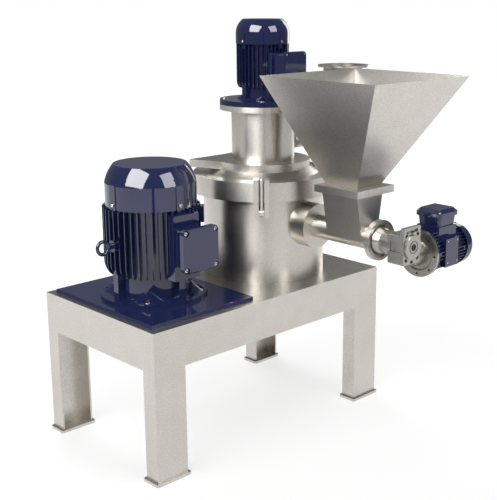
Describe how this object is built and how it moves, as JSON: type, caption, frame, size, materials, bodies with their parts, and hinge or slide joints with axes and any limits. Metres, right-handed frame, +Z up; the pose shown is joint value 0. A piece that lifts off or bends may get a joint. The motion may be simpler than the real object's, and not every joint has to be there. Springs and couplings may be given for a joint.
{
  "type": "air classifying mill",
  "caption": "Air classifying mill: hopper and screw feeder, grinding chamber with a clamped lid, classifier motor on top and a vertical belt drive motor, on a steel stand.",
  "frame": {"origin": "on the floor, at the centre of the machine's bounding box", "axes": "+Z up, +X along the stand from the main motor to the powder outlet, +Y from the hopper side to the back of the stand"},
  "size_m": [1.402, 1.126, 1.5413],
  "materials": {
    "stainless_blasted": "bead blasted stainless steel, matt and finely grained",
    "stainless_turned": "turned and brushed stainless steel with a satin shine",
    "navy_enamel": "deep navy gloss enamel over cast iron and sheet steel",
    "cast_aluminium": "die cast aluminium, light grey and slightly rough",
    "shaft_steel": "ground bright shaft steel",
    "hardened_steel": "hardened tool steel, dull",
    "zinc_plate": "zinc plated steel",
    "fan_plastic": "black moulded plastic",
    "pulley_iron": "machined grey cast iron",
    "black_rubber": "black rubber"
  },
  "bodies": {
    "stand": {"air_scroll": "stainless_blasted", "bearing_cartridge": "hardened_steel", "clamp_pins": "stainless_turned", "classifier_motor_bolts": "zinc_plate", "classifier_motor_cowl": "navy_enamel", "classifier_motor_end_shield": "navy_enamel", "classifier_motor_frame": "navy_enamel", "classifier_motor_terminal_box": "navy_enamel", "classifier_motor_terminal_lid": "navy_enamel", "drive_belts": "black_rubber", "feeder_tube": "stainless_blasted", "gearbox_cover": "cast_aluminium", "gearbox_flange": "cast_aluminium", "gearbox_housing": "cast_aluminium", "gearmotor_cowl": "navy_enamel", "gearmotor_end_shield": "navy_enamel", "gearmotor_frame": "navy_enamel", "gearmotor_terminal_box": "navy_enamel", "gearmotor_terminal_lid": "navy_enamel", "hopper": "stainless_blasted", "leg_back_left": "stainless_blasted", "leg_back_right": "stainless_blasted", "leg_front_left": "stainless_blasted", "leg_front_right": "stainless_blasted", "lid": "stainless_turned", "lid_gasket": "black_rubber", "liner_ring": "hardened_steel", "main_motor_bolts": "zinc_plate", "main_motor_cowl": "navy_enamel", "main_motor_end_shield": "navy_enamel", "main_motor_eyebolt": "navy_enamel", "main_motor_frame": "navy_enamel", "main_motor_terminal_box": "navy_enamel", "main_motor_terminal_lid": "navy_enamel", "mill_body": "stainless_turned", "motor_plate": "navy_enamel", "neck": "stainless_turned", "outlet_elbow": "stainless_blasted", "rail_back": "stainless_blasted", "rail_front": "stainless_blasted", "rail_left": "stainless_blasted", "rail_right": "stainless_blasted", "shaft_tube": "stainless_turned", "shroud_ring": "stainless_turned", "table_top": "stainless_blasted"},
    "main_motor_rotor": {"main_motor_shaft": "shaft_steel", "main_motor_fan": "fan_plastic", "motor_pulley": "pulley_iron"},
    "mill_rotor": {"mill_spindle": "shaft_steel", "mill_pulley": "pulley_iron", "grinding_rotor": "hardened_steel", "rotor_hammers": "hardened_steel"},
    "classifier_rotor": {"classifier_shaft": "shaft_steel", "classifier_motor_fan": "fan_plastic", "classifier_wheel": "stainless_turned"},
    "feed_screw": {"feed_screw": "stainless_turned"},
    "gearmotor_rotor": {"gearmotor_shaft": "shaft_steel"},
    "swing_bolt_1": {"swing_bolt_1": "stainless_turned"},
    "swing_bolt_2": {"swing_bolt_2": "stainless_turned"},
    "swing_bolt_3": {"swing_bolt_3": "stainless_turned"}
  },
  "joints": [
    {"name": "main_motor_spin", "type": "hinge", "parent": "stand", "child": "main_motor_rotor", "pos_m": [-0.43705, 0.227, 0.564], "axis": [0, 0, 1], "continuous": true},
    {"name": "mill_spin", "type": "hinge", "parent": "stand", "child": "mill_rotor", "pos_m": [0.12145, 0.227, 0.62], "axis": [0, 0, 1], "continuous": true},
    {"name": "classifier_spin", "type": "hinge", "parent": "stand", "child": "classifier_rotor", "pos_m": [0.12145, 0.227, 1.2173], "axis": [0, 0, 1], "continuous": true},
    {"name": "feed_screw_spin", "type": "hinge", "parent": "stand", "child": "feed_screw", "pos_m": [0.12145, -0.475, 0.7721], "axis": [0, -1, 0], "continuous": true},
    {"name": "gearmotor_spin", "type": "hinge", "parent": "stand", "child": "gearmotor_rotor", "pos_m": [0.22995, -0.475, 0.7221], "axis": [1, 0, 0], "continuous": true},
    {"name": "swing_bolt_1_tilt", "type": "hinge", "parent": "stand", "child": "swing_bolt_1", "pos_m": [-0.08361, 0.02194, 0.8395], "axis": [0.7071, -0.7071, 0], "range_deg": [0, 150]},
    {"name": "swing_bolt_2_tilt", "type": "hinge", "parent": "stand", "child": "swing_bolt_2", "pos_m": [0.40157, 0.15194, 0.8395], "axis": [0.2588, 0.9659, 0], "range_deg": [0, 150]},
    {"name": "swing_bolt_3_tilt", "type": "hinge", "parent": "stand", "child": "swing_bolt_3", "pos_m": [0.04639, 0.50712, 0.8395], "axis": [-0.9659, -0.2588, 0], "range_deg": [0, 150]}
  ],
  "couplings": [
    {"joint": "mill_spin", "follows": "main_motor_spin", "ratio": 1.6726},
    {"joint": "gearmotor_spin", "follows": "feed_screw_spin", "ratio": 30}
  ]
}
